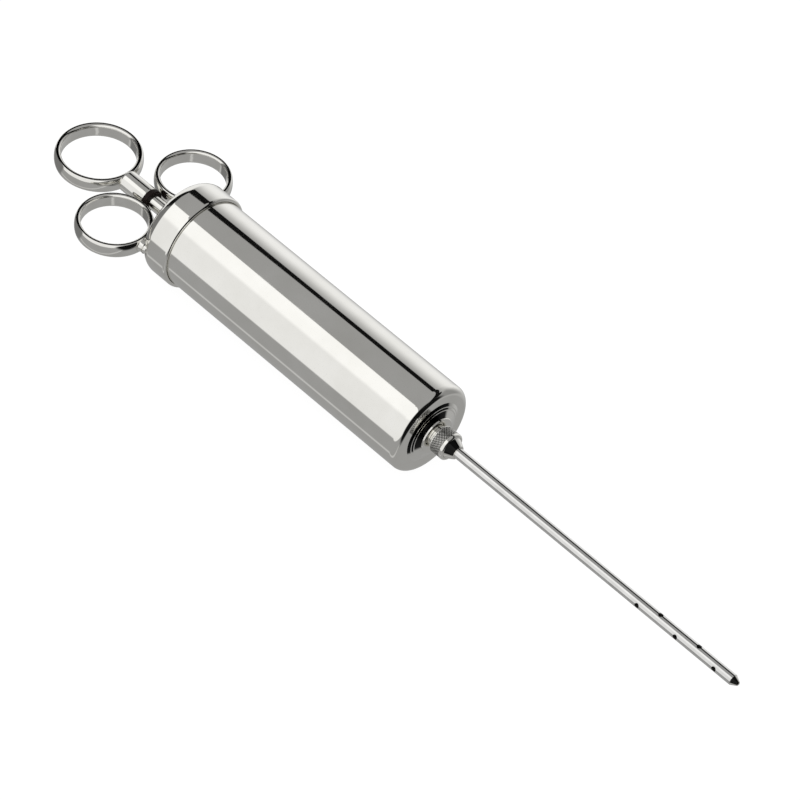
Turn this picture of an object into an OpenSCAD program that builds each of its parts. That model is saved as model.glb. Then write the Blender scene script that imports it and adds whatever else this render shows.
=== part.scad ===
// Meat injector: ring-handled plunger syringe with a screw cap and a side-hole needle.
// All sizes in millimetres. +X runs along the barrel towards the needle tip, +Z is up, and
// the finger rings lie in the XY plane. The origin is on the barrel axis where the bare
// needle tube leaves its hub.

/* [Barrel] */
// Outside diameter of the barrel
barrel_od = 40; // [36:0.5:44]
// Barrel wall thickness
barrel_wall = 1.2; // [1:0.1:1.4]
// Distance from the needle hub's end back to the barrel's front face
face_setback = 14.1; // [14:0.1:15]
// Overall barrel length
barrel_l = 143.3; // [120:1:150]
// Radius of the barrel's rounded front corner
corner_r = 3.6; // [1.5:0.1:4]

/* [Cap] */
// Outside diameter of the screw cap
cap_od = 43.2; // [42.6:0.1:46]
// Length of the cap over its rear wall
cap_l = 15.4; // [15:0.2:18]
// Rounding of the cap's rear corner
cap_corner_r = 5.4; // [3:0.2:5.4]
// Lead of the cap's thread
cap_lead = 1.5; // [1:0.25:1.5]

/* [Finger rings] */
// Inside diameter of a finger ring
finger_id = 27.4; // [25:0.1:28]
// Outside diameter of a finger ring
finger_od = 32.4; // [32:0.1:34]
// Height of the finger ring's band
finger_h = 6.5; // [5.5:0.1:7]
// Sideways distance of a finger ring's centre from the barrel axis
finger_side = 21.4; // [21.2:0.1:24]
// Distance of the finger rings' centres behind the cap's lip
finger_back = 30.5; // [30:0.1:34]

/* [Plunger] */
// Rod diameter
rod_d = 6.3; // [5.5:0.1:6.5]
// Diameter of the ferrule that joins the rod to the thumb ring
ferrule_d = 9.4; // [8.5:0.1:9.6]
// Inside diameter of the thumb ring
thumb_id = 31.2; // [28:0.1:32]
// Outside diameter of the thumb ring
thumb_od = 36.9; // [36:0.1:39]
// Height of the thumb ring's band
thumb_h = 6.5; // [5.5:0.1:7]
// Distance of the thumb ring's centre behind the cap's lip, plunger pushed home
thumb_back = 64.6; // [63:0.1:70]
// Distance of the ferrule's front end behind the cap's lip
ferrule_back = 33.3; // [33:0.1:36]

/* [Needle] */
// Outside diameter of the needle
needle_od = 4.5; // [4:0.1:5]
// Length of the needle from its hub to its point
needle_l = 146.6; // [110:0.1:160]
// Bore of the needle
needle_bore = 2.9; // [2:0.1:3.2]
// Diameter of the side holes
hole_d = 2.1; // [1:0.1:2.4]
// Distance between neighbouring side holes
hole_pitch = 9.75; // [8:0.25:12]
// Distance from the point back to the last side hole
hole_back = 10.8; // [9:0.1:14]
// Turn of the side holes about the needle's axis, in degrees
hole_turn = 8; // [0:1:90]
// Number of cross-drilled stations
hole_stations = 5; // [3:1:7]

/* [Coupling nut] */
// Outside diameter over the knurl
nut_od = 12; // [11.6:0.1:13]
// Lead of the coupling thread
nut_lead = 1; // [0.5:0.25:1]

/* [Hidden] */
$fn = 96;

run = 0.05;          // radial clearance of a running fit
loose = 0.1;         // radial clearance of a thread crest in its mate
skin = 0.02;         // axial gap between stacked pieces that turn on each other
arc_n = 8;           // segments in a quarter arc of a turned profile
cut = 1;             // how far a cutting shape runs past the piece it cuts

barrel_r = barrel_od / 2;
bore_r = barrel_r - barrel_wall;
face_x = -face_setback;
barrel_rear_x = face_x - barrel_l;
front_wall = 2;
thread_seat = 0.6;   // depth of the seat that the thread ring is brazed in
thread_root_r = barrel_r - thread_seat;
thread_depth = 0.4;
thread_ring_l = 9.4;
port_r = 6;
inner_edge = 1;

cap_r = cap_od / 2;
cap_bore_r = barrel_r + loose;
cap_wall = 2;
gasket_t = 1.5;
cap_rear_x = barrel_rear_x - gasket_t - cap_wall;
cap_inner_x = cap_rear_x + cap_wall;
lip_x = cap_rear_x + cap_l;
lip_bead_r = 0.5;
inner_corner_r = 0.8;
lip_chamfer = 0.35;

finger_x = lip_x - finger_back;
finger_in_r = finger_id / 2;
finger_out_r = finger_od / 2;
lug_r = 3.1;
lug_end_r = 2.3;
lug_l = 4.6;
lug_bite = 1.5;      // how far a lug starts inside the outline of its ring
lug_side = finger_side - 0.9;

rod_r = rod_d / 2;
rod_edge = 0.4;
spigot_r = rod_r - 0.65;
spigot_edge = 0.3;
bush_r = rod_r + 0.85;
bush_rear_x = lip_x - 23.2;
bush_flange_t = 1.2;
bush_flange_r = 6.5;
bush_edge = 0.3;
bush_tail = 0.9;     // bush length that shows past its nut
bush_nut_t = 3;
bush_nut_af = 12;

ferrule_r = ferrule_d / 2;
ferrule_x = lip_x - ferrule_back;
thumb_x = lip_x - thumb_back;
thumb_in_r = thumb_id / 2;
thumb_out_r = thumb_od / 2;
socket_l = 8.4;      // depth of rod seated in the ferrule
saddle = 1.8;        // how far the ferrule's rear end stands off the thumb ring's inside
bumper_t = 2.2;
bumper_r = ferrule_r + 0.1;

// The piston stack, from the front wall back
push_in = 2;         // travel left before the piston nut meets the front wall
stop_gap = 0.3;      // room that is still left when the plunger is pushed home
nut_front_x = face_x - front_wall - push_in - stop_gap;
piston_nut_t = 3.5;
piston_nut_af = 8;
spring_t = 1;
plate_t = 2.5;
cup_t = 2;
cup_lip_l = 5;
cup_lip_t = 1.9;
spacer_l = 6;
seal_r = bore_r - run;
plate_gap = 0.15;    // plate edge to the inside of the seal's lip
plate_r = seal_r - cup_lip_t - plate_gap;
stack_bore_r = spigot_r + run;
spring_x = nut_front_x - piston_nut_t - spring_t;
front_plate_x = spring_x - plate_t;
front_cup_x = front_plate_x - cup_t;
spacer_x = front_cup_x - spacer_l;
rear_cup_x = spacer_x - cup_t;
rear_plate_x = rear_cup_x - plate_t;
shoulder_x = rear_plate_x - skin;

// The needle end, from the hub's end back
needle_r = needle_od / 2;
hub_end_r = 2.95;
hub_cone_l = 3.2;
hub_r = 4.75;
nut_front = -hub_cone_l;
nut_r = nut_od / 2;
nut_l = 6.7;
nut_wall = 1.8;
nut_bore_r = 5.25;
hub_flange_t = 1.6;
hub_flange_r = nut_bore_r - loose;
hub_rear_x = nut_front - nut_wall - skin - hub_flange_t;
hub_washer_t = 0.8;
seat_r = needle_r - 0.4;
tip_l = 2.8;
tip_x = needle_l - tip_l;
spigot_front_x = hub_rear_x - hub_washer_t;
neck_l = 1.4;        // bare neck that shows behind the coupling nut
boss_front_x = nut_front - nut_l - neck_l;
step_1_r = 13.7;
rim_r = 8;
passage_r = 1.9;

// Points of a circular arc, for turned profiles: centre c, radius r, angles a to b
function arc(c, r, a, b, n = arc_n) =
    [for (i = [0:n]) c + r * [cos(a + (b - a) * i / n), sin(a + (b - a) * i / n)]];

// A profile of [radius, position along X] points turned about the X axis
module turned(profile) {
    rotate([0, 90, 0])
        rotate_extrude($fn = 180)
            polygon(profile);
}

// A plain disc, ring or tube on the X axis from x to x + l
module tube_x(x, l, r, hole = 0) {
    translate([x, 0, 0])
        rotate([0, 90, 0])
            difference() {
                cylinder(r = r, h = l);
                if (hole > 0)
                    translate([0, 0, -cut])
                        cylinder(r = hole, h = l + 2 * cut);
            }
}

// Hexagon bar on the X axis with a round hole
module hex_nut(x, l, across_flats, hole) {
    translate([x, 0, 0])
        rotate([0, 90, 0])
            difference() {
                cylinder(d = across_flats / cos(30), h = l, $fn = 6);
                translate([0, 0, -cut])
                    cylinder(r = hole, h = l + 2 * cut);
            }
}

// Profile points of the thread ridges that fit in a length l from x. A ridge starts, reaches
// its crest, leaves it and ends at these shares of the lead
ridge = [0.1, 0.3, 0.55, 0.75];
function thread(x, l, root, crest, lead) =
    [for (i = [0:floor(l / lead) - 1], k = [0:3])
        [k == 1 || k == 2 ? crest : root, x + (i + ridge[k]) * lead]];

// Handle ring about the Z axis: flat inside band with well-rounded edges, a narrow land on
// top and underneath, and a half-elliptic outside
module handle_ring(inside_r, outside_r, height) {
    width = outside_r - inside_r;
    edge = 0.46 * width;
    land = 0.18 * width;
    half = height / 2;
    dome_x = inside_r + edge + land;
    dome = outside_r - dome_x;
    rotate_extrude($fn = 180)
        polygon(concat(
            arc([inside_r + edge, half - edge], edge, 180, 90, 6),
            [for (a = [90:-10:-90]) [dome_x + dome * cos(a), half * sin(a)]],
            arc([inside_r + edge, edge - half], edge, 270, 180, 6)));
}

// The cap's outside as one solid body, used to seat the pieces brazed to it
module cap_envelope() {
    turned(concat(
        [[0, cap_rear_x]],
        arc([cap_r - cap_corner_r, cap_rear_x + cap_corner_r], cap_corner_r, -90, 0),
        [[cap_r, lip_x], [0, lip_x]]));
}

module barrel_shell() {
    color("silver")
        turned(concat(
            [[bore_r, barrel_rear_x], [thread_root_r, barrel_rear_x],
             [thread_root_r, barrel_rear_x + thread_ring_l],
             [barrel_r, barrel_rear_x + thread_ring_l]],
            arc([barrel_r - corner_r, face_x - corner_r], corner_r, 0, 90),
            [[port_r, face_x], [port_r, face_x - front_wall],
             [bore_r - inner_edge, face_x - front_wall], [bore_r, face_x - front_wall - inner_edge]]));
}

module barrel_thread_ring() {
    valley_r = barrel_r - thread_depth;
    crest_r = barrel_r - skin;
    color("silver")
        turned(concat(
            [[thread_root_r, barrel_rear_x], [valley_r, barrel_rear_x]],
            thread(barrel_rear_x, thread_ring_l, valley_r, crest_r, cap_lead),
            [[valley_r, barrel_rear_x + thread_ring_l],
             [thread_root_r, barrel_rear_x + thread_ring_l]]));
}

// Boss brazed in the barrel's nose: two low sloping steps, a cone up to a rim, a neck and the
// threaded spigot
module nose_boss() {
    step_1_h = 0.7;
    slope_1_w = 1.25;
    step_2_h = 0.4;
    slope_2_w = 0.7;
    land_w = 0.4;
    rim_edge = 0.35;
    land_1_r = step_1_r - slope_1_w;
    land_2_r = land_1_r - land_w - slope_2_w;
    land_2_x = face_x + step_1_h + step_2_h;
    neck_r = 4.6;
    neck_x = nut_front - nut_l;
    color("silver")
        turned(concat(
            [[passage_r, face_x - front_wall], [port_r, face_x - front_wall], [port_r, face_x],
             [step_1_r, face_x], [land_1_r, face_x + step_1_h],
             [land_1_r - land_w, face_x + step_1_h], [land_2_r, land_2_x],
             [land_2_r - land_w, land_2_x], [rim_r, boss_front_x - 2 * rim_edge]],
            arc([rim_r, boss_front_x - rim_edge], rim_edge, 0, 90, 4),
            [[neck_r, boss_front_x], [neck_r, neck_x]],
            thread(neck_x, spigot_front_x - neck_x, neck_r, nut_bore_r - loose, nut_lead),
            [[neck_r, spigot_front_x], [passage_r, spigot_front_x]]));
}

module cap_shell() {
    color("silver")
        turned(concat(
            [[bush_r + run, cap_rear_x]],
            arc([cap_r - cap_corner_r, cap_rear_x + cap_corner_r], cap_corner_r, -90, 0),
            arc([cap_r - lip_bead_r, lip_x - lip_bead_r], lip_bead_r, 0, 90, 4),
            [[cap_bore_r + lip_chamfer, lip_x], [cap_bore_r, lip_x - lip_chamfer]],
            arc([cap_bore_r - inner_corner_r, cap_inner_x + inner_corner_r], inner_corner_r, 0, -90, 6),
            [[bush_r + run, cap_inner_x]]));
}

module cap_gasket() {
    color("firebrick")
        tube_x(cap_inner_x, gasket_t, cap_bore_r - inner_corner_r, bore_r - 2.6);
}

module finger_ring(side) {
    color("silver")
        difference() {
            translate([finger_x, side * finger_side, 0])
                handle_ring(finger_in_r, finger_out_r, finger_h);
            cap_envelope();
        }
}

module finger_ring_left() {
    finger_ring(-1);
}

module finger_ring_right() {
    finger_ring(1);
}

// Short posts brazed between the finger rings and the cap's rear corner
module finger_ring_lugs() {
    color("silver")
        for (side = [-1, 1])
            difference() {
                translate([finger_x + finger_out_r - lug_bite, side * lug_side, 0])
                    rotate([0, 90, 0])
                        cylinder(r1 = lug_r, r2 = lug_end_r, h = lug_l);
                translate([finger_x, side * finger_side, 0])
                    handle_ring(finger_in_r, finger_out_r, finger_h);
                cap_envelope();
            }
}

module rod_guide_bush() {
    front_x = cap_inner_x + bush_nut_t + bush_tail;
    flange_x = cap_rear_x - bush_flange_t;
    color("silver")
        turned([[rod_r + run, bush_rear_x], [bush_r - bush_edge, bush_rear_x],
                [bush_r, bush_rear_x + bush_edge], [bush_r, flange_x], [bush_flange_r, flange_x],
                [bush_flange_r, cap_rear_x], [bush_r, cap_rear_x], [bush_r, front_x],
                [rod_r + run, front_x]]);
}

module bush_nut() {
    color("goldenrod")
        hex_nut(cap_inner_x, bush_nut_t, bush_nut_af, bush_r + run);
}

module plunger_rod() {
    rear_x = ferrule_x - socket_l;
    color("silver")
        turned([[0, rear_x], [rod_r - rod_edge, rear_x], [rod_r, rear_x + rod_edge],
                [rod_r, shoulder_x], [spigot_r, shoulder_x], [spigot_r, nut_front_x - spigot_edge],
                [spigot_r - spigot_edge, nut_front_x], [0, nut_front_x]]);
}

// Turned sleeve, its rear end saddled round the thumb ring's band
module ring_ferrule() {
    rear_x = thumb_x + thumb_in_r + saddle;
    rear_edge = 0.8;
    front_edge = 0.6;
    color("silver")
        difference() {
            turned([[0, rear_x], [ferrule_r - rear_edge, rear_x], [ferrule_r, rear_x + rear_edge],
                    [ferrule_r, ferrule_x - front_edge], [ferrule_r - front_edge, ferrule_x],
                    [rod_r, ferrule_x], [rod_r, ferrule_x - socket_l], [0, ferrule_x - socket_l]]);
            translate([thumb_x, 0, 0])
                handle_ring(thumb_in_r, thumb_out_r, thumb_h);
            translate([thumb_x, 0, -ferrule_r - cut])
                cylinder(r = thumb_in_r, h = ferrule_d + 2 * cut, $fn = 180);
        }
}

module thumb_ring() {
    color("silver")
        translate([thumb_x, 0, 0])
            handle_ring(thumb_in_r, thumb_out_r, thumb_h);
}

module bumper_washer() {
    color("maroon")
        tube_x(ferrule_x, bumper_t, bumper_r, rod_r);
}

// Pressed plate that holds a cup seal, chamfered on the side away from the seal
module piston_plate(x, chamfer_front) {
    chamfer = 0.8;
    front = chamfer_front ? chamfer : 0;
    back = chamfer_front ? 0 : chamfer;
    turned([[stack_bore_r, x], [plate_r - back, x], [plate_r, x + back],
            [plate_r, x + plate_t - front], [plate_r - front, x + plate_t], [stack_bore_r, x + plate_t]]);
}

module piston_rear_plate() {
    color("goldenrod")
        piston_plate(rear_plate_x, false);
}

// Cup seal with its web at x, its lip running forward (dir 1) or back (dir -1)
module cup_seal(x, dir) {
    heel = 0.8;
    lip_edge_t = 0.6;
    lip_slope_l = 1.2;
    base = dir > 0 ? x : x + cup_t;
    web = base + dir * cup_t;
    lip = web + dir * cup_lip_l;
    turned([[stack_bore_r, base], [seal_r - heel, base], [seal_r, base + dir * heel], [seal_r, lip],
            [seal_r - lip_edge_t, lip], [seal_r - cup_lip_t, lip - dir * lip_slope_l],
            [seal_r - cup_lip_t, web], [stack_bore_r, web]]);
}

module rear_cup_seal() {
    color("dimgray")
        cup_seal(rear_cup_x, -1);
}

module seal_spacer() {
    color("goldenrod")
        tube_x(spacer_x, spacer_l, plate_r, stack_bore_r);
}

module front_cup_seal() {
    color("dimgray")
        cup_seal(front_cup_x, 1);
}

module piston_front_plate() {
    color("goldenrod")
        piston_plate(front_plate_x, true);
}

// Split lock washer, its gap on one side
module spring_washer() {
    washer_r = 4.4;
    gap = 0.8;
    color("gray")
        difference() {
            tube_x(spring_x, spring_t, washer_r, stack_bore_r);
            translate([spring_x - cut, 0, -gap / 2])
                cube([spring_t + 2 * cut, washer_r + cut, gap]);
        }
}

module piston_nut() {
    color("goldenrod")
        hex_nut(nut_front_x - piston_nut_t + skin, piston_nut_t - skin, piston_nut_af, spigot_r);
}

// Needle tube with side holes drilled right through, each station turned a quarter from the last
module needle_tube() {
    color("silver")
        difference() {
            turned([[needle_bore / 2, hub_rear_x], [seat_r, hub_rear_x], [seat_r, 0], [needle_r, 0],
                    [needle_r, tip_x], [needle_bore / 2, tip_x]]);
            for (i = [0:hole_stations - 1])
                translate([needle_l - hole_back - i * hole_pitch, 0, 0])
                    rotate([(i % 2 == 0 ? 90 : 0) - hole_turn, 0, 0])
                        cylinder(d = hole_d, h = needle_od + 2 * cut, center = true);
        }
}

// Solid point pressed and brazed into the tube's end
module needle_tip() {
    point_r = 0.9;
    point_angle = 32;    // half angle of the cone
    plug_l = 3;
    color("dimgray")
        turned(concat(
            [[0, tip_x - plug_l], [needle_bore / 2, tip_x - plug_l], [needle_bore / 2, tip_x],
             [needle_r, tip_x]],
            arc([0, needle_l - point_r], point_r, point_angle, 90, 5)));
}

module needle_hub() {
    edge = 0.15;
    color("silver")
        turned([[seat_r, hub_rear_x], [hub_flange_r, hub_rear_x],
                [hub_flange_r, hub_rear_x + hub_flange_t], [hub_r, hub_rear_x + hub_flange_t],
                [hub_r, nut_front], [hub_end_r, -edge], [hub_end_r - edge, 0], [seat_r, 0]]);
}

module hub_washer() {
    color("firebrick")
        tube_x(spigot_front_x, hub_washer_t, hub_flange_r - loose, passage_r);
}

// Knurled nut that draws the needle hub onto the nose spigot
module coupling_nut() {
    rear_x = nut_front - nut_l;
    shoulder_r = 1.05;
    rear_edge = 0.3;
    color("silver")
        turned(concat(
            [[nut_bore_r, rear_x], [nut_r - rear_edge, rear_x], [nut_r, rear_x + rear_edge]],
            arc([nut_r - shoulder_r, nut_front - shoulder_r], shoulder_r, 0, 90, 6),
            [[hub_r + run, nut_front], [hub_r + run, nut_front - nut_wall],
             [nut_bore_r, nut_front - nut_wall]]));
}

barrel_shell();
barrel_thread_ring();
nose_boss();
cap_shell();
cap_gasket();
finger_ring_left();
finger_ring_right();
finger_ring_lugs();
rod_guide_bush();
bush_nut();
plunger_rod();
ring_ferrule();
thumb_ring();
bumper_washer();
piston_rear_plate();
rear_cup_seal();
seal_spacer();
front_cup_seal();
piston_front_plate();
spring_washer();
piston_nut();
needle_tube();
needle_tip();
needle_hub();
hub_washer();
coupling_nut();
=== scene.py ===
"""Looks of the meat injector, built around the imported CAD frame. Metres, in the row frame:
+X runs along the barrel to the needle tip, +Z is up, the finger rings lie in the XY plane."""

import math

import bmesh
import bpy
from mathutils import Matrix, Vector


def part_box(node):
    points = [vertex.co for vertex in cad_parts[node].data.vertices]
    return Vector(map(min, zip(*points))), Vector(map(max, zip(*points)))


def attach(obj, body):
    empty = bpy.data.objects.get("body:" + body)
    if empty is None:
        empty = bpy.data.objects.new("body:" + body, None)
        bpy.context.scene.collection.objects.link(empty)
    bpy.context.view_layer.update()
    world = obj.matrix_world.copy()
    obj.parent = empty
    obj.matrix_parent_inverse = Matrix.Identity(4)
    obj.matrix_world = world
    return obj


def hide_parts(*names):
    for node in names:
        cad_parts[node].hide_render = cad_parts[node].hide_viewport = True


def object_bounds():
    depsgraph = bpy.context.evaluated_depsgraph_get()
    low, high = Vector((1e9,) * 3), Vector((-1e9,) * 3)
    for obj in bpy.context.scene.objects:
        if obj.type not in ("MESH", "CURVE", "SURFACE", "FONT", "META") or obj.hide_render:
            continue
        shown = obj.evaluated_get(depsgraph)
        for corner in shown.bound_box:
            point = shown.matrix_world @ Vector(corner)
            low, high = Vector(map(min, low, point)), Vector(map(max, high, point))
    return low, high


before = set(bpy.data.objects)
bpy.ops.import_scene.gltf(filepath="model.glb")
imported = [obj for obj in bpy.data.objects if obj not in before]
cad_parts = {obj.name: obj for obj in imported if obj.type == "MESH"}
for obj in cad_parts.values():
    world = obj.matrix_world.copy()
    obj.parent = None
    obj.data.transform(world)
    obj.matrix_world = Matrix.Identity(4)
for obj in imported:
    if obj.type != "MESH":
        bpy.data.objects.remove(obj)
CAD_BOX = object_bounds()

MM = 0.001
TURNED = 192        # facets round a turned piece
ROUND_STEP = 7.0    # degrees of arc per facet in a rounded corner
CREASE = 35.0       # degrees between faces from which an edge is sharp
SAME_POINT = 1e-7   # points nearer than this are one


# ---------------------------------------------------------------- sizes read from the frame

def reach(node):
    """(rear x, front x, outside radius) of a turned CAD node."""
    lo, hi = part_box(node)
    return lo.x, hi.x, hi.z


def ring_size(node):
    """(centre, outside radius, height) of a handle ring, its rear edge and both sides being whole."""
    lo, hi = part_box(node)
    radius = (hi.y - lo.y) / 2
    return Vector((lo.x + radius, (lo.y + hi.y) / 2, 0)), radius, hi.z - lo.z


BARREL_REAR, FACE_X, BARREL_R = reach("barrel_shell")
THREAD_REAR, THREAD_FRONT, THREAD_CREST = reach("barrel_thread_ring")
CAP_REAR, LIP_X, CAP_R = reach("cap_shell")
BOSS_REAR, SPIGOT_FRONT, STEP_R = reach("nose_boss")
BUSH_REAR, BUSH_FRONT, BUSH_FLANGE_R = reach("rod_guide_bush")
ROD_REAR, ROD_FRONT, ROD_R = reach("plunger_rod")
FERRULE_REAR, FERRULE_FRONT, FERRULE_R = reach("ring_ferrule")
BUMPER_REAR, BUMPER_FRONT, BUMPER_R = reach("bumper_washer")
NUT_REAR, NUT_FRONT, NUT_R = reach("coupling_nut")
HUB_REAR, HUB_FRONT, HUB_FLANGE_R = reach("needle_hub")
TUBE_REAR, TUBE_FRONT, NEEDLE_R = reach("needle_tube")
TIP_REAR, TIP_FRONT, _ = reach("needle_tip")
PISTON_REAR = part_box("piston_rear_plate")[0].x

THREAD_SEAT = 0.6 * MM               # how deep the thread ring is let into the barrel
NEEDLE_SEAT_R = NEEDLE_R - 0.4 * MM  # needle tube's end, inside the hub
NEEDLE_BORE = 1.45 * MM
KNURL_TEETH = 40
KNURL_DEPTH = 0.13 * MM


# ---------------------------------------------------------------- mesh helpers

def rounded(corners):
    """Outline points from corners (x, r, rounding), each corner replaced by an arc of that radius."""
    points = []
    count = len(corners)
    for i, (x, r, rounding) in enumerate(corners):
        here = Vector((x, r))
        before = Vector(corners[i - 1][:2]) - here
        after = Vector(corners[(i + 1) % count][:2]) - here
        if rounding <= 0:
            points.append(here)
            continue
        before.normalize()
        after.normalize()
        opening = before.angle(after)
        cut = rounding / math.tan(opening / 2)
        middle = here + (before + after).normalized() * (rounding / math.sin(opening / 2))
        start = here + before * cut - middle
        turn = start.angle_signed(here + after * cut - middle)
        steps = max(3, math.ceil(abs(math.degrees(turn)) / ROUND_STEP))
        for k in range(steps + 1):
            arm = start.copy()
            arm.rotate(Matrix.Rotation(-turn * k / steps, 2))
            points.append(middle + arm)
    return points


def finish_mesh(name, bm):
    """Object from a bmesh: outward normals, smooth faces, sharp edges past the crease angle."""
    bmesh.ops.remove_doubles(bm, verts=bm.verts, dist=SAME_POINT)
    bmesh.ops.recalc_face_normals(bm, faces=bm.faces)
    mesh = bpy.data.meshes.new(name)
    bm.to_mesh(mesh)
    bm.free()
    mesh.shade_smooth()
    mesh.set_sharp_from_angle(angle=math.radians(CREASE))
    piece = bpy.data.objects.new(name, mesh)
    bpy.context.scene.collection.objects.link(piece)
    weighted = piece.modifiers.new("even_normals", "WEIGHTED_NORMAL")
    weighted.keep_sharp = True
    weighted.weight = 90
    return piece


def revolve(name, outline, place=None, facets=TURNED, radius_at=None):
    """Closed outline of (x, r) points turned about X, then placed. radius_at(x, r, turn) may
    shape the radius at each point."""
    bm = bmesh.new()
    rows = []
    for k in range(facets):
        turn = 2 * math.pi * k / facets
        row = []
        for x, r in outline:
            radius = radius_at(x, r, turn) if radius_at else r
            row.append(bm.verts.new((x, radius * math.cos(turn), radius * math.sin(turn))))
        rows.append(row)
    count = len(outline)
    for k in range(facets):
        here, there = rows[k], rows[(k + 1) % facets]
        for i in range(count):
            j = (i + 1) % count
            if outline[i][1] < 1e-9 and outline[j][1] < 1e-9:
                continue
            bm.faces.new((here[i], here[j], there[j], there[i]))
    if place is not None:
        bm.transform(place)
    bmesh.ops.remove_doubles(bm, verts=bm.verts, dist=SAME_POINT)
    bmesh.ops.dissolve_degenerate(bm, edges=bm.edges, dist=1e-8)
    return finish_mesh(name, bm)


def settle(piece, material, body, slot, *nodes):
    """Gives a new piece its material and body, and hides the CAD nodes that it stands for. slot is not
    used.
    """
    piece.data.materials.append(material)
    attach(piece, body)
    if nodes:
        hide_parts(*nodes)
    return piece


# ---------------------------------------------------------------- material helpers

class Nodes:
    """Short calls for building one material's node tree, in the object's own metres."""

    def __init__(self, name):
        self.material = bpy.data.materials.new(name)
        self.material.use_nodes = True
        self.tree = self.material.node_tree
        self.tree.nodes.clear()
        self.shader = self.tree.nodes.new("ShaderNodeBsdfPrincipled")
        output = self.tree.nodes.new("ShaderNodeOutputMaterial")
        self.link(self.shader.outputs["BSDF"], output.inputs["Surface"])
        self.place = self.tree.nodes.new("ShaderNodeTexCoord").outputs["Object"]

    def link(self, source, target):
        self.tree.links.new(source, target)

    def stretched(self, scale):
        """Object coordinates multiplied by a scale along each axis."""
        node = self.tree.nodes.new("ShaderNodeMapping")
        node.inputs["Scale"].default_value = scale
        self.link(self.place, node.inputs["Vector"])
        return node.outputs["Vector"]

    def noise(self, vector, scale, detail, roughness):
        node = self.tree.nodes.new("ShaderNodeTexNoise")
        node.inputs["Scale"].default_value = scale
        node.inputs["Detail"].default_value = detail
        node.inputs["Roughness"].default_value = roughness
        self.link(vector, node.inputs["Vector"])
        return node.outputs["Fac"]

    def spread(self, value, low, high, to_low, to_high):
        """A value's range low to high, clamped and mapped to to_low to to_high."""
        node = self.tree.nodes.new("ShaderNodeMapRange")
        node.inputs["From Min"].default_value = low
        node.inputs["From Max"].default_value = high
        node.inputs["To Min"].default_value = to_low
        node.inputs["To Max"].default_value = to_high
        self.link(value, node.inputs["Value"])
        return node.outputs["Result"]

    def sum(self, first, second):
        node = self.tree.nodes.new("ShaderNodeMath")
        node.operation = "ADD"
        self.link(first, node.inputs[0])
        self.link(second, node.inputs[1])
        return node.outputs["Value"]

    def blend(self, factor, dark, light):
        node = self.tree.nodes.new("ShaderNodeMix")
        node.data_type = "RGBA"
        node.inputs["A"].default_value = (*dark, 1)
        node.inputs["B"].default_value = (*light, 1)
        self.link(factor, node.inputs["Factor"])
        return node.outputs["Result"]

    def bump(self, height, strength, depth):
        node = self.tree.nodes.new("ShaderNodeBump")
        node.inputs["Strength"].default_value = strength
        node.inputs["Distance"].default_value = depth
        self.link(height, node.inputs["Height"])
        self.link(node.outputs["Normal"], self.shader.inputs["Normal"])

    def set(self, **values):
        for name, value in values.items():
            socket = self.shader.inputs[name.replace("_", " ").title().replace("Ior", "IOR")]
            if hasattr(value, "links"):
                self.link(value, socket)
            else:
                socket.default_value = value


def polished_metal(name, dark, light, lines):
    """Mirror-polished metal: hairline polishing marks, fine specks and slight cloudiness.
    lines scales the coordinates so that the marks run round the piece."""
    n = Nodes(name)
    marks = n.noise(n.stretched(lines), 1.0, 2.0, 0.6)
    cloud = n.noise(n.place, 70.0, 4.0, 0.55)
    specks = n.noise(n.place, 900.0, 2.0, 0.5)
    n.set(metallic=1.0, base_color=n.blend(n.spread(cloud, 0.3, 0.7, 0.0, 1.0), dark, light),
          roughness=n.sum(n.spread(marks, 0.45, 0.8, 0.035, 0.085), n.spread(cloud, 0.5, 0.75, 0.0, 0.04)))
    n.bump(n.sum(n.spread(marks, 0.3, 0.7, 0.0, 1.0), n.spread(specks, 0.3, 0.7, 0.0, 0.3)), 0.25, 0.4e-6)
    return n.material


def brass(name):
    """Turned brass: concentric tool marks and uneven tarnish."""
    n = Nodes(name)
    marks = n.noise(n.stretched((6000, 300, 300)), 1.0, 2.0, 0.5)
    tarnish = n.noise(n.place, 160.0, 5.0, 0.6)
    n.set(metallic=1.0, base_color=n.blend(tarnish, (0.62, 0.42, 0.16), (0.86, 0.66, 0.33)),
          roughness=n.sum(n.spread(tarnish, 0.4, 0.8, 0.16, 0.34), n.spread(marks, 0.3, 0.8, 0.0, 0.1)))
    n.bump(marks, 0.5, 4e-6)
    return n.material


def rubber(name):
    """Black nitrile: fine moulded grain with a slight bloom."""
    n = Nodes(name)
    grain = n.noise(n.place, 3500.0, 3.0, 0.6)
    bloom = n.noise(n.place, 120.0, 4.0, 0.6)
    n.set(base_color=n.blend(bloom, (0.012, 0.012, 0.013), (0.035, 0.034, 0.034)),
          roughness=n.spread(grain, 0.3, 0.7, 0.42, 0.62))
    n.bump(grain, 0.4, 8e-6)
    return n.material


def fibre(name):
    """Red vulcanised fibre: matted strands and darker, oil-stained patches."""
    n = Nodes(name)
    strands = n.noise(n.stretched((2600, 700, 700)), 1.0, 5.0, 0.7)
    stain = n.noise(n.place, 260.0, 3.0, 0.6)
    matted = n.sum(n.spread(strands, 0.3, 0.7, 0.0, 0.6), n.spread(stain, 0.4, 0.7, 0.0, 0.4))
    n.set(base_color=n.blend(matted, (0.006, 0.004, 0.004), (0.014, 0.007, 0.006)),
          roughness=n.spread(strands, 0.3, 0.7, 0.45, 0.7), specular_ior_level=0.15)
    n.bump(strands, 0.5, 1.2e-5)
    return n.material


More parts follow.
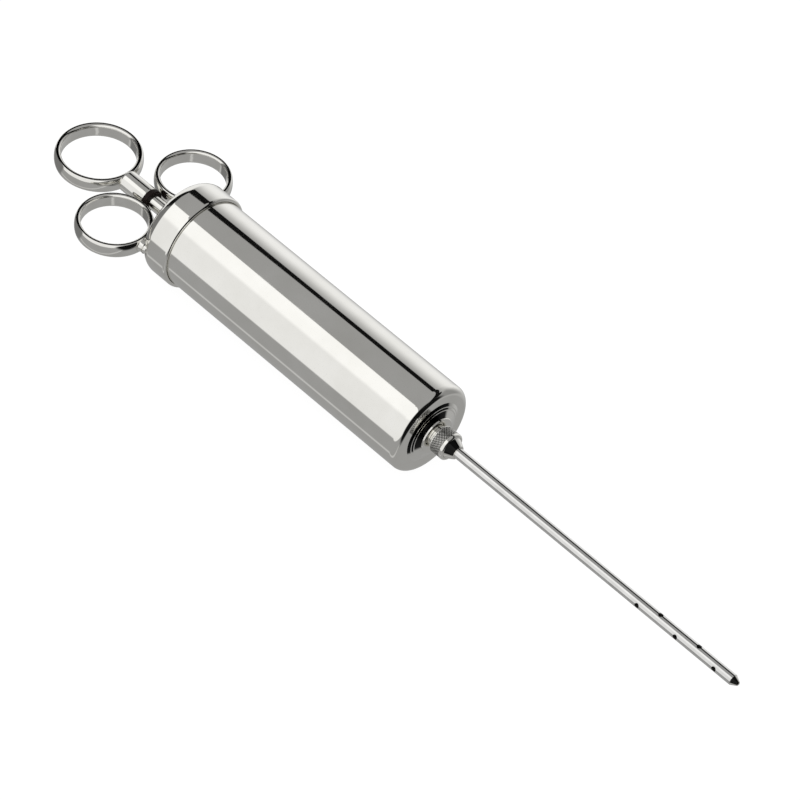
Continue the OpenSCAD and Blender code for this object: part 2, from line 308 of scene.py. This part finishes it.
def spring_steel(name):
    """Tempered spring steel: blue-grey oxide with drawn lines."""
    n = Nodes(name)
    drawn = n.noise(n.stretched((300, 5000, 5000)), 1.0, 2.0, 0.6)
    temper = n.noise(n.place, 300.0, 3.0, 0.5)
    n.set(metallic=1.0, base_color=n.blend(temper, (0.16, 0.17, 0.2), (0.34, 0.34, 0.35)),
          roughness=n.spread(drawn, 0.3, 0.8, 0.22, 0.4))
    n.bump(drawn, 0.4, 3e-6)
    return n.material


def painted_reflection_metal(name, dark, light, lines, towards, from_cosine, softness, waves=0.0):
    """Polished metal with a painted reflection: a fixed dark patch in place of a reflected black flag,
    black where the surface faces the given direction by more than a cosine, whatever the camera's
    place. waves is the height of the hand-polished unevenness, in metres."""
    n = Nodes(name)
    facing = n.tree.nodes.new("ShaderNodeVectorMath")
    facing.operation = "DOT_PRODUCT"
    facing.inputs[1].default_value = Vector(towards).normalized()
    n.link(n.tree.nodes.new("ShaderNodeTexCoord").outputs["Normal"], facing.inputs[0])
    # Painted reflection of a black flag: the colour turns near black where the surface faces the given
    # direction.
    flag = n.spread(facing.outputs["Value"], from_cosine, from_cosine + softness, 0.0, 1.0)
    marks = n.noise(n.stretched(lines), 1.0, 2.0, 0.6)
    cloud = n.noise(n.place, 200.0, 4.0, 0.55)
    metal = n.blend(n.spread(cloud, 0.3, 0.7, 0.0, 1.0), dark, light)
    with_painted_dark = n.tree.nodes.new("ShaderNodeMix")
    with_painted_dark.data_type = "RGBA"
    with_painted_dark.inputs["B"].default_value = (0.012, 0.012, 0.012, 1)
    n.link(metal, with_painted_dark.inputs["A"])
    n.link(flag, with_painted_dark.inputs["Factor"])
    n.set(metallic=1.0, base_color=with_painted_dark.outputs["Result"],
          roughness=n.spread(marks, 0.45, 0.8, 0.05, 0.12))
    uneven = n.noise(n.place, 260.0, 1.0, 0.4)
    n.bump(n.sum(n.spread(marks, 0.3, 0.7, 0.0, 0.1e-6), n.spread(uneven, 0.2, 0.8, 0.0, waves)), 1.0, 1.0)
    return n.material


def painted_shade_bore(name):
    """Unpolished bore of a drawn tube, coloured nearly black as painted shade inside it."""
    n = Nodes(name)
    scale = n.noise(n.stretched((300, 2500, 2500)), 1.0, 3.0, 0.6)
    n.set(metallic=0.4, base_color=n.blend(scale, (0.01, 0.01, 0.01), (0.035, 0.033, 0.03)),
          roughness=n.spread(scale, 0.3, 0.7, 0.5, 0.75))
    n.bump(scale, 0.4, 1e-5)
    return n.material


def knurled_metal(name):
    """Nickel on the knurl: bright on the crests, duller down in the grooves, whose colour is darkened there
    as painted shade.
    """
    n = Nodes(name)
    away = n.tree.nodes.new("ShaderNodeVectorMath")
    away.operation = "LENGTH"
    n.link(n.stretched((0, 1, 1)), away.inputs[0])
    crest = n.spread(away.outputs["Value"], NUT_R - 0.85 * KNURL_DEPTH, NUT_R - 0.3 * KNURL_DEPTH,
                     0.0, 1.0)
    grime = n.noise(n.place, 1500.0, 3.0, 0.6)
    # Painted shade: the colour falls to near black down in the grooves.
    n.set(metallic=1.0, base_color=n.blend(crest, (0.03, 0.03, 0.028), NICKEL_LIGHT),
          roughness=n.sum(n.spread(crest, 0.0, 1.0, 0.3, 0.05), n.spread(grime, 0.4, 0.8, 0.0, 0.12)))
    n.bump(grime, 0.2, 2e-6)
    return n.material


NICKEL_DARK = (0.80, 0.79, 0.75)
NICKEL_LIGHT = (0.86, 0.85, 0.815)
ROUND_X = (5000, 60, 60)    # marks that circle the X axis
ROUND_Z = (60, 60, 5000)    # marks that circle a ring's upright axis
DRAWN_X = (60, 3000, 3000)  # marks that run along the needle

# Directions that the painted dark reflections face
TO_PAINTED_REFLECTION = (0.49, -0.53, 0.70)    # on the hub, the needle's point and the boss's steps
TO_EDGE = (0.0, 0.06, 1.0)       # line along the needle
TO_CREST = (-0.06, 0.06, 1.0)    # line round the rings' tops

NICKEL = polished_metal("nickel_turned", NICKEL_DARK, NICKEL_LIGHT, ROUND_X)
# These four materials carry painted dark reflections, set by the way each surface faces: on the rings and
# lugs, the hub and needle point, the boss's steps and the needle.
NICKEL_RING = painted_reflection_metal("nickel_ring", NICKEL_DARK, NICKEL_LIGHT, ROUND_Z, TO_CREST, 0.975, 0.012,
                            3e-5)
CONE_NICKEL = painted_reflection_metal("nickel_cone", NICKEL_DARK, NICKEL_LIGHT, ROUND_X, TO_PAINTED_REFLECTION, 0.74, 0.04)
STEP_NICKEL = painted_reflection_metal("nickel_steps", NICKEL_DARK, NICKEL_LIGHT, ROUND_X, TO_PAINTED_REFLECTION, 0.56, 0.04)
NEEDLE_STEEL = painted_reflection_metal("needle_steel", (0.70, 0.695, 0.68), (0.80, 0.795, 0.78), DRAWN_X,
                             TO_EDGE, 0.990, 0.003)
BRASS = brass("turned_brass")
RUBBER = rubber("nitrile")
FIBRE = fibre("red_fibre")
SPRING = spring_steel("tempered_steel")
BORE = painted_shade_bore("painted_shade_bore")
KNURLED = knurled_metal("nickel_knurl")


# ---------------------------------------------------------------- barrel

def barrel():
    wall = 1.2 * MM
    front_wall = 2 * MM
    port = 6 * MM
    bore = BARREL_R - wall
    corner = 3.3 * MM
    outline = rounded([
        (BARREL_REAR, bore, 0.1 * MM), (BARREL_REAR, BARREL_R - THREAD_SEAT, 0.05 * MM),
        (THREAD_FRONT, BARREL_R - THREAD_SEAT, 0), (THREAD_FRONT, BARREL_R, 0.15 * MM),
        (FACE_X, BARREL_R, corner), (FACE_X, port, 0),
        (FACE_X - front_wall, port, 0), (FACE_X - front_wall, bore, 1 * MM)])
    settle(revolve("barrel_tube", outline), NICKEL, "barrel", "nickel_plate", "barrel_shell")


def helix_ridge(lead, root, crest):
    """radius_at for revolve(): a rounded ridge that advances one lead a turn."""
    def radius(x, r, turn):
        if r < root - 1e-9:
            return r
        phase = (x / lead - turn / (2 * math.pi)) % 1.0
        rise = min(1.0, max(0.0, 1.6 - abs(phase - 0.5) * 5.2))
        return root + (crest - root) * rise
    return radius


def threaded_sleeve(name, rear, front, bore, root, crest, lead):
    """Tube with a true helical thread outside, fading to its root at both ends."""
    steps = round((front - rear) / lead * 14)
    outside = [(rear + (front - rear) * i / steps, root) for i in range(steps + 1)]
    outline = outside + [(front, bore), (rear, bore)]
    ridge = helix_ridge(lead, root, crest)

    def radius(x, r, turn):
        fade = min(1.0, (x - rear) / (lead / 2), (front - x) / (lead / 2))
        return r + (ridge(x, r, turn) - r) * max(0.0, fade)
    return revolve(name, outline, facets=144, radius_at=radius)


def barrel_thread():
    depth = 0.4 * MM
    lead = 1.5 * MM
    piece = threaded_sleeve("cap_thread", THREAD_REAR, THREAD_FRONT, BARREL_R - THREAD_SEAT,
                            BARREL_R - depth, THREAD_CREST, lead)
    settle(piece, NICKEL, "barrel", "nickel_plate", "barrel_thread_ring")


def nose():
    """Boss with two low sloping steps, a cone up to its rim and a neck, and its threaded spigot."""
    rim_r = 8 * MM
    neck_r = 4.6 * MM
    passage = 1.9 * MM
    step_1, step_2 = 0.7 * MM, 1.1 * MM
    slope_1, slope_2 = 1.25 * MM, 0.7 * MM
    land = 0.4 * MM
    land_1_r = STEP_R - slope_1
    land_2_r = land_1_r - land - slope_2
    boss_front = NUT_REAR - 1.4 * MM
    outline = rounded([
        (BOSS_REAR, passage, 0.2 * MM), (BOSS_REAR, 6 * MM, 0), (FACE_X, 6 * MM, 0),
        (FACE_X, STEP_R, 0), (FACE_X + step_1, land_1_r, 0.3 * MM),
        (FACE_X + step_1, land_1_r - land, 0.2 * MM), (FACE_X + step_2, land_2_r, 0.25 * MM),
        (FACE_X + step_2, land_2_r - land, 0.5 * MM), (boss_front - 0.7 * MM, rim_r, 0.3 * MM),
        (boss_front, rim_r, 0.35 * MM), (boss_front, neck_r, 0.2 * MM),
        (NUT_REAR, neck_r, 0), (NUT_REAR, passage, 0)])
    piece = revolve("nose_boss_body", outline)
    settle(piece, NICKEL, "barrel", "nickel_plate", "nose_boss")
    # The steps take the metal with the painted dark reflection.
    piece.data.materials.append(STEP_NICKEL)
    for face in piece.data.polygons:
        if face.center.x > FACE_X and math.hypot(face.center.y, face.center.z) > rim_r + 0.1 * MM:
            face.material_index = 1
    spigot = threaded_sleeve("nose_spigot", NUT_REAR, SPIGOT_FRONT, passage, neck_r,
                             HUB_FLANGE_R, 1 * MM)
    settle(spigot, NICKEL, "barrel", "nickel_plate")


# ---------------------------------------------------------------- cap and finger rings

def cap():
    wall = 2 * MM
    bore = BARREL_R + 0.1 * MM
    hole = 4.05 * MM
    corner = 5.4 * MM
    lip = 1.1 * MM
    outline = rounded([
        (CAP_REAR, hole, 0.15 * MM), (CAP_REAR, CAP_R, corner), (LIP_X, CAP_R, lip),
        (LIP_X, bore, 0.35 * MM), (CAP_REAR + wall, bore, 0.8 * MM), (CAP_REAR + wall, hole, 0)])
    settle(revolve("screw_cap", outline), NICKEL, "cap", "nickel_plate", "cap_shell")


def ring_outline(outside, width, height):
    """Section of a handle ring, as (height, radius): flat inside band, rounded edges, a slightly
    crowned land on top and underneath, and a half-elliptic outside."""
    edge = 0.46 * width
    land = 0.18 * width
    half = height / 2
    sag = 0.01 * MM
    inside = outside - width
    dome_r = inside + edge + land
    steps = 12
    upper = []
    for k in range(steps):
        a = math.pi / 2 * k / steps
        upper.append((half - sag - edge * (1 - math.sin(a)), inside + edge * (1 - math.cos(a))))
    for k in range(5):
        across = k / 4
        upper.append((half - sag * (2 * across - 1) ** 2, inside + edge + land * across))
    for k in range(1, steps + 1):
        a = math.pi / 2 * (1 - k / steps)
        upper.append(((half - sag) * math.sin(a), dome_r + (outside - dome_r) * math.cos(a)))
    lower = [(-z, r) for z, r in reversed(upper[:-1])]
    return upper + lower


def upright(centre):
    """Placing that stands a turned piece's axis up along Z through a point."""
    return Matrix.Translation(centre) @ Matrix.Rotation(math.radians(-90), 4, "Y")


def finger_rings():
    width = 2.5 * MM
    for side in ("left", "right"):
        node = "finger_ring_" + side
        centre, outside, height = ring_size(node)
        outline = ring_outline(outside, width, height)
        piece = revolve("finger_loop_" + side, outline, upright(centre))
        settle(piece, NICKEL_RING, "cap", "nickel_plate", node)


def lugs():
    """Brazed necks that flare into the finger rings and the cap's corner."""
    lo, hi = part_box("finger_ring_lugs")
    out = hi.y - 3.1 * MM
    rear = lo.x - 0.8 * MM
    front = hi.x
    outline = rounded([
        (rear, 0, 0), (rear, 3.1 * MM, 0.3 * MM), (rear + 1.2 * MM, 2.95 * MM, 1.0 * MM),
        (rear + 2.4 * MM, 2.2 * MM, 2.0 * MM), (front - 1.2 * MM, 2.5 * MM, 1.2 * MM),
        (front, 1.6 * MM, 0.6 * MM), (front, 0, 0)])
    for side in (-1, 1):
        name = "ring_lug_left" if side < 0 else "ring_lug_right"
        piece = revolve(name, outline, Matrix.Translation((0, side * out, 0)), 96)
        settle(piece, NICKEL_RING, "cap", "nickel_plate", "finger_ring_lugs")


def guide_bush():
    bore = ROD_R + 0.05 * MM
    tube = 4 * MM
    flange = CAP_REAR - 1.2 * MM
    outline = rounded([
        (BUSH_REAR, bore, 0.2 * MM), (BUSH_REAR, tube, 0.35 * MM), (flange, tube, 0.3 * MM),
        (flange, BUSH_FLANGE_R, 0.35 * MM), (CAP_REAR, BUSH_FLANGE_R, 0.1 * MM),
        (CAP_REAR, tube, 0), (BUSH_FRONT, tube, 0.2 * MM), (BUSH_FRONT, bore, 0.1 * MM)])
    settle(revolve("rod_bush", outline), NICKEL, "cap", "nickel_plate", "rod_guide_bush")


# ---------------------------------------------------------------- plunger

def rod():
    spigot = 2.5 * MM
    shoulder = PISTON_REAR - 0.02 * MM
    outline = rounded([
        (ROD_REAR, 0, 0), (ROD_REAR, ROD_R, 0.4 * MM), (shoulder, ROD_R, 0.1 * MM),
        (shoulder, spigot, 0), (ROD_FRONT, spigot, 0.3 * MM), (ROD_FRONT, 0, 0)])
    settle(revolve("piston_rod", outline, facets=128), NICKEL, "plunger", "nickel_plate", "plunger_rod")


def ferrule():
    outline = rounded([
        (FERRULE_REAR, 0, 0), (FERRULE_REAR, FERRULE_R, 0.9 * MM),
        (FERRULE_FRONT, FERRULE_R, 0.55 * MM), (FERRULE_FRONT, ROD_R, 0.1 * MM),
        (ROD_REAR, ROD_R, 0), (ROD_REAR, 0, 0)])
    settle(revolve("ferrule", outline, facets=144), NICKEL, "plunger", "nickel_plate", "ring_ferrule")


def thumb_loop():
    width = 2.85 * MM
    centre, outside, height = ring_size("thumb_ring")
    piece = revolve("thumb_loop", ring_outline(outside, width, height), upright(centre))
    settle(piece, NICKEL_RING, "plunger", "nickel_plate", "thumb_ring")


def bumper():
    outline = rounded([
        (BUMPER_REAR, ROD_R, 0), (BUMPER_REAR, BUMPER_R, 0.3 * MM),
        (BUMPER_FRONT, BUMPER_R, 0.5 * MM), (BUMPER_FRONT, ROD_R, 0.1 * MM)])
    settle(revolve("bumper", outline, facets=128), FIBRE, "plunger", "fibre", "bumper_washer")


# ---------------------------------------------------------------- coupling nut and needle

def knurl(rear, front):
    """radius_at for revolve(): diamond knurling between two stations, cut below the nut's radius."""
    pitch = 2 * math.pi * NUT_R / KNURL_TEETH

    def radius(x, r, turn):
        inside = min(x - rear, front - x) / (0.25 * MM)
        if r < NUT_R - 1e-6 or inside <= 0:
            return r
        right = (turn * KNURL_TEETH / (2 * math.pi) + x / pitch) % 1.0
        left = (turn * KNURL_TEETH / (2 * math.pi) - x / pitch) % 1.0
        groove = max(abs(right - 0.5), abs(left - 0.5)) * 2
        return r - KNURL_DEPTH * groove * min(1.0, inside)
    return radius


def coupling_nut():
    bore = 5.25 * MM
    mouth = 4.8 * MM
    web = NUT_FRONT - 1.8 * MM
    rear = NUT_REAR + 0.3 * MM
    front = NUT_FRONT - 1.5 * MM
    steps = 54
    body = [(rear + (front - rear) * i / steps, NUT_R) for i in range(steps + 1)]
    head = rounded([(NUT_REAR, bore, 0.1 * MM), (NUT_REAR, NUT_R, 0.3 * MM), (front, NUT_R, 0)])
    lip = rounded([(front, NUT_R, 0), (NUT_FRONT, NUT_R, 1.05 * MM), (NUT_FRONT, mouth, 0.1 * MM),
                   (web, mouth, 0), (web, bore, 0), (NUT_REAR, bore, 0)])
    outline = head[:-1] + body + lip[1:-1]
    outline = [p for i, p in enumerate(outline)
               if (Vector(p) - Vector(outline[i - 1])).length > 1e-8]
    piece = revolve("knurled_nut", outline, facets=KNURL_TEETH * 8, radius_at=knurl(rear, front))
    settle(piece, KNURLED, "coupling", "nickel_plate", "coupling_nut")
    piece.data.materials.append(NICKEL)
    for face in piece.data.polygons:
        if not rear < face.center.x < front or math.hypot(face.center.y, face.center.z) < bore + 0.1 * MM:
            face.material_index = 1


def hub():
    flange_front = HUB_REAR + 1.6 * MM
    neck = 4.75 * MM
    end = 2.95 * MM
    outline = rounded([
        (HUB_REAR, NEEDLE_SEAT_R, 0), (HUB_REAR, HUB_FLANGE_R, 0.1 * MM),
        (flange_front, HUB_FLANGE_R, 0.1 * MM), (flange_front, neck, 0), (NUT_FRONT, neck, 0.3 * MM),
        (HUB_FRONT, end, 0.2 * MM), (HUB_FRONT, NEEDLE_SEAT_R, 0)])
    settle(revolve("hub", outline, facets=144), CONE_NICKEL, "needle", "nickel_plate", "needle_hub")


def drilled(piece, stations, bore, turn):
    """Cuts cross holes through a tube, each station turned a quarter from the last."""
    for i, x in enumerate(stations):
        angle = math.radians((90 if i % 2 == 0 else 0) - turn)
        place = Matrix.Translation((x, 0, 0)) @ Matrix.Rotation(angle, 4, "X")
        bm = bmesh.new()
        bmesh.ops.create_cone(bm, cap_ends=True, segments=40, radius1=bore, radius2=bore,
                              depth=4 * NEEDLE_R, matrix=place)
        mesh = bpy.data.meshes.new("drill")
        bm.to_mesh(mesh)
        bm.free()
        drill = bpy.data.objects.new("drill", mesh)
        bpy.context.scene.collection.objects.link(drill)
        cut = piece.modifiers.new("hole", "BOOLEAN")
        cut.operation = "DIFFERENCE"
        cut.solver = "EXACT"
        cut.object = drill
        with bpy.context.temp_override(object=piece):
            bpy.ops.object.modifier_apply(modifier=cut.name)
        bpy.data.objects.remove(drill)


def needle():
    hole = 1.05 * MM
    hole_back = 10.8 * MM
    hole_turn = 8    # degrees
    hole_count = 5
    pitch = 9.75 * MM
    stations = [TIP_FRONT - hole_back - i * pitch for i in range(hole_count)]
    run = [(HUB_FRONT + (TUBE_FRONT - HUB_FRONT) * i / 60, NEEDLE_R) for i in range(61)]
    rear_end = [(TUBE_REAR, NEEDLE_BORE), (TUBE_REAR, NEEDLE_SEAT_R), (HUB_FRONT, NEEDLE_SEAT_R)]
    outline = rear_end + run + [(TUBE_FRONT, NEEDLE_BORE)]
    piece = revolve("needle_shaft", outline, facets=96)
    drilled(piece, stations, hole, hole_turn)
    piece.data.set_sharp_from_angle(angle=math.radians(CREASE))
    settle(piece, NEEDLE_STEEL, "needle", "needle_steel", "needle_tube")
    # Faces inside the tube take the bore's painted shade.
    piece.data.materials.append(BORE)
    for face in piece.data.polygons:
        if math.hypot(face.center.y, face.center.z) < NEEDLE_R - 0.05 * MM:
            face.material_index = 1


def tip():
    end_r = 0.75 * MM
    outline = rounded([
        (TIP_REAR, 0, 0), (TIP_REAR, NEEDLE_BORE, 0.3 * MM), (TUBE_FRONT, NEEDLE_BORE, 0),
        (TUBE_FRONT, NEEDLE_R, 0.08 * MM), (TIP_FRONT, end_r, 0.9 * MM), (TIP_FRONT, 0, 0)])
    settle(revolve("needle_point", outline, facets=96), CONE_NICKEL, "needle", "needle_steel",
           "needle_tip")


# ---------------------------------------------------------------- carried-over CAD nodes

def carried_over():
    """Materials for the CAD nodes that stay as they are, all inside the object."""
    finishes = {BRASS: ("bush_nut", "piston_rear_plate", "seal_spacer", "piston_front_plate", "piston_nut"),
                RUBBER: ("rear_cup_seal", "front_cup_seal"),
                FIBRE: ("cap_gasket", "hub_washer"),
                SPRING: ("spring_washer",)}
    for material, names in finishes.items():
        for name in names:
            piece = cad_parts[name]
            piece.data.materials.clear()
            piece.data.materials.append(material)


# ---------------------------------------------------------------- studio

# Brightness of the things that mirror surfaces see round the object. None is built: each is a
# patch of the world's background
GREY_ROOM = 0.37    # walls and floor
TABLE_TOP = 0.97    # lit table on the far side
TABLE_END = 0.30    # where that table runs out of the light, towards +X
SOFT_BOX = 1.15     # overhead, just on the camera's side of the object
WHITE_WALL = 0.94   # on the camera's side
STRIP = 0.60        # narrow lit edge, low on the camera's side
DIM_REAR = 0.20     # behind the thumb ring
UNLIT = 0.006       # wherever no light falls
AMBIENT = 0.82      # even light on matt surfaces


class World:
    """Short calls for the world's node tree."""

    def __init__(self):
        world = bpy.data.worlds.new("studio")
        bpy.context.scene.world = world
        world.use_nodes = True
        self.nodes, self.links = world.node_tree.nodes, world.node_tree.links
        self.nodes.clear()

    def plug(self, value, socket):
        if hasattr(value, "links"):
            self.links.new(value, socket)
        else:
            socket.default_value = value

    def math(self, operation, *values):
        node = self.nodes.new("ShaderNodeMath")
        node.operation = operation
        for value, socket in zip(values, node.inputs):
            self.plug(value, socket)
        return node.outputs["Value"]

    def step(self, value, low, high):
        """0 below low, 1 above high, smooth between."""
        node = self.nodes.new("ShaderNodeMapRange")
        node.interpolation_type = "SMOOTHSTEP"
        node.inputs["From Min"].default_value = low
        node.inputs["From Max"].default_value = high
        self.links.new(value, node.inputs["Value"])
        return node.outputs["Result"]

    def mix(self, factor, first, second):
        node = self.nodes.new("ShaderNodeMix")
        for value, socket in ((factor, "Factor"), (first, "A"), (second, "B")):
            self.plug(value, node.inputs[socket])
        return node.outputs["Result"]

    def panel(self, angle, first, last, first_edge, last_edge):
        """1 between two angles, with an edge of its own softness at either end."""
        begun = self.step(angle, first - first_edge / 2, first + first_edge / 2)
        left = self.step(self.math("SUBTRACT", last, angle), -last_edge / 2, last_edge / 2)
        return self.math("MULTIPLY", begun, left)

    def within(self, value, inner, outer):
        """1 below inner, 0 above outer, smooth between."""
        return self.math("SUBTRACT", 1.0, self.step(value, inner, outer))


# Angles go round the X axis, in degrees from +Y: the far table is at 0, the ceiling at 90, the
# camera's side at 180 and the floor at 270. along is a reflection's share of the X direction

def surround(w, angle, off_table, along):
    """Table, room, white wall, soft box and strip, seen by surfaces that face away from X."""
    box_from, box_to, wall_to = 97.5, 135, 197
    # the soft box stands askew, its near edge moving round along X
    askew = w.math("MULTIPLY", w.math("ADD", w.math("MINIMUM", along, -0.40), 0.59), 55.0)
    nearby = w.panel(angle, 80, 140, 20, 40)
    shifted = w.math("SUBTRACT", angle, w.math("MULTIPLY", w.math("MAXIMUM", askew, 0.0), nearby))
    seen = w.mix(w.within(off_table, 5, 50), GREY_ROOM, TABLE_TOP)
    seen = w.mix(w.panel(shifted, box_from, wall_to, 1, 4), seen, WHITE_WALL)
    seen = w.mix(w.panel(shifted, box_from, box_to, 1, 12), seen, SOFT_BOX)
    return w.mix(w.panel(angle, 237, 243, 4, 3), seen, STRIP)


def table_end(w, off_table, along):
    """1 where the far table has run out of the light, towards +X."""
    return w.math("MULTIPLY", w.step(along, -0.20, 0.50), w.within(off_table, 20, 44))


def dark_gap(w, angle, along):
    """1 inside the gap between the table and the grey wall, which widens towards -X."""
    behind = w.math("MAXIMUM", w.math("SUBTRACT", -0.475, w.math("MAXIMUM", along, -0.63)), 0.0)
    high = w.math("ADD", 54.0, w.math("MULTIPLY", behind, 135.0))
    above = w.step(angle, 42.2, 43.4)
    below = w.step(w.math("SUBTRACT", high, angle), -0.6, 0.6)
    return w.math("MULTIPLY", above, below)


def unlit_end(w, angle, off_table, along):
    """1 round the +X end, which no light reaches. It comes round further by the table, and
    furthest by the gap over it."""
    from_room, from_table, from_gap = 0.76, 0.70, 0.30
    starts = w.mix(w.within(off_table, 50, 60), from_room, from_table)
    starts = w.mix(w.panel(angle, 30, 54, 12, 8), starts, from_gap)
    return w.step(w.math("SUBTRACT", along, starts), 0.0, 0.12)


def rear_end(w, angle, off_table):
    """Brightness round the -X end, behind the thumb ring: table, dark ceiling and dim room."""
    seen = w.mix(w.within(off_table, 46, 80), DIM_REAR, TABLE_TOP)
    return w.mix(w.panel(angle, 46, 108, 12, 16), seen, UNLIT)


def studio_world():
    """White to the camera, even light on matt surfaces and a banded studio for reflections."""
    w = World()
    direction = w.nodes.new("ShaderNodeTexCoord").outputs["Generated"]
    split = w.nodes.new("ShaderNodeSeparateXYZ")
    w.links.new(direction, split.inputs["Vector"])
    along = split.outputs["X"]
    radians = w.math("ARCTAN2", split.outputs["Z"], split.outputs["Y"])
    turn = w.math("FRACT", w.math("ADD", w.math("DIVIDE", radians, 2 * math.pi), 1.0))
    angle = w.math("MULTIPLY", turn, 360.0)
    off_table = w.math("SUBTRACT", 180.0, w.math("ABSOLUTE", w.math("SUBTRACT", angle, 180.0)))
    seen = surround(w, angle, off_table, along)
    seen = w.mix(table_end(w, off_table, along), seen, TABLE_END)
    seen = w.mix(dark_gap(w, angle, along), seen, UNLIT)
    seen = w.mix(unlit_end(w, angle, off_table, along), seen, UNLIT)
    backwards = w.math("MULTIPLY", along, -1.0)
    seen = w.mix(w.step(backwards, 0.60, 0.68), seen, rear_end(w, angle, off_table))
    path = w.nodes.new("ShaderNodeLightPath")
    light = w.mix(path.outputs["Is Glossy Ray"], AMBIENT, seen)
    shown = w.mix(path.outputs["Is Camera Ray"], light, 1.0)
    background = w.nodes.new("ShaderNodeBackground")
    w.links.new(shown, background.inputs["Color"])
    output = w.nodes.new("ShaderNodeOutputWorld")
    w.links.new(background.outputs["Background"], output.inputs["Surface"])


def floor():
    """Pale matt table under the object, glowing so that its shadows stay light, and left out of
    the reflections."""
    size = 4.0
    mesh = bpy.data.meshes.new("floor")
    bm = bmesh.new()
    bmesh.ops.create_grid(bm, x_segments=1, y_segments=1, size=size / 2)
    bm.to_mesh(mesh)
    bm.free()
    piece = bpy.data.objects.new("floor", mesh)
    bpy.context.scene.collection.objects.link(piece)
    piece.location = ((CAD_BOX[0].x + CAD_BOX[1].x) / 2, 0, CAD_BOX[0].z)
    n = Nodes("pale_table")
    weave = n.noise(n.place, 12.0, 3.0, 0.5)
    n.set(base_color=n.blend(weave, (0.10, 0.10, 0.10), (0.12, 0.12, 0.12)), roughness=0.9,
          specular_ior_level=0.0, emission_color=(1, 1, 1, 1), emission_strength=0.94)
    piece.data.materials.append(n.material)
    piece.visible_glossy = False


def soft_light():
    """Large soft lamp over the near side, for the matt parts and the shadow's direction."""
    data = bpy.data.lights.new("soft_box", "AREA")
    data.shape = "DISK"
    data.size = 1.2
    data.energy = 6.0
    lamp = bpy.data.objects.new("soft_box", data)
    bpy.context.scene.collection.objects.link(lamp)
    lamp.location = (0.25, -0.6, 1.3)
    lamp.rotation_mode = "QUATERNION"
    lamp.rotation_quaternion = (-lamp.location).to_track_quat("-Z", "Y")
    lamp.visible_glossy = False


def camera():
    """Camera at the photograph's viewing angle."""
    lens = 160.88
    azimuth = math.radians(39.06)
    elevation = math.radians(45.81)
    roll = math.radians(9.28)
    distance = 1.3908
    aside, above = 6.1 * MM, -3.0 * MM
    back = Vector((math.sin(azimuth) * math.cos(elevation), -math.cos(azimuth) * math.cos(elevation),
                   math.sin(elevation)))
    level = Vector((math.cos(azimuth), math.sin(azimuth), 0))
    upward = back.cross(level)
    right = level * math.cos(roll) + upward * math.sin(roll)
    up = back.cross(right)
    centre = (CAD_BOX[0] + CAD_BOX[1]) / 2
    data = bpy.data.cameras.new("camera")
    data.lens = lens
    data.sensor_width = 36.0
    data.clip_start, data.clip_end = 0.05, 20.0
    view = bpy.data.objects.new("camera", data)
    bpy.context.scene.collection.objects.link(view)
    basis = Matrix((right, up, back)).transposed().to_4x4()
    basis.translation = centre + back * distance + right * aside + up * above
    view.matrix_world = basis
    bpy.context.scene.camera = view


# ---------------------------------------------------------------- build

barrel()
barrel_thread()
nose()
cap()
finger_rings()
lugs()
guide_bush()
rod()
ferrule()
thumb_loop()
bumper()
coupling_nut()
hub()
needle()
tip()
carried_over()
studio_world()
floor()
soft_light()
camera()
bpy.context.scene.view_settings.view_transform = "Standard"
